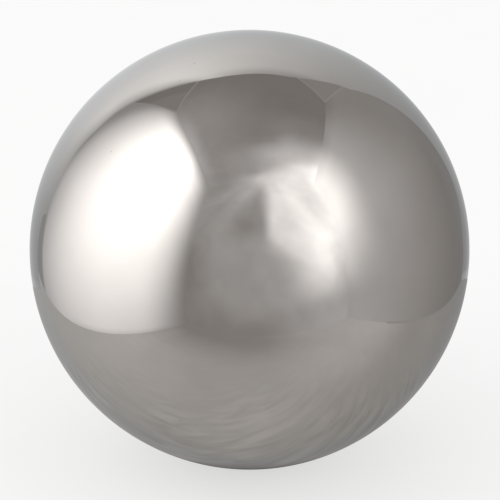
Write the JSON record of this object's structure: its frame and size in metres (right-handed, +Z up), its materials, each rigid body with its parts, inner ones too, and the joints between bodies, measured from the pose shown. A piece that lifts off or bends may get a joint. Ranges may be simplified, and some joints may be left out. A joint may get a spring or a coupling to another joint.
{
  "type": "bearing ball",
  "caption": "Solid steel bearing ball with a ground and lapped mirror finish, the rolling element that carries load between two raceways.",
  "frame": {"origin": "centre of the ball", "axes": "the ball is the same about every axis; +Z is up, from the lower raceway contact to the upper one"},
  "size_m": [0.1, 0.1, 0.1],
  "materials": {
    "lapped_steel": "polished"
  },
  "bodies": {
    "root": {"bearing_ball": "lapped_steel"}
  },
  "joints": []
}
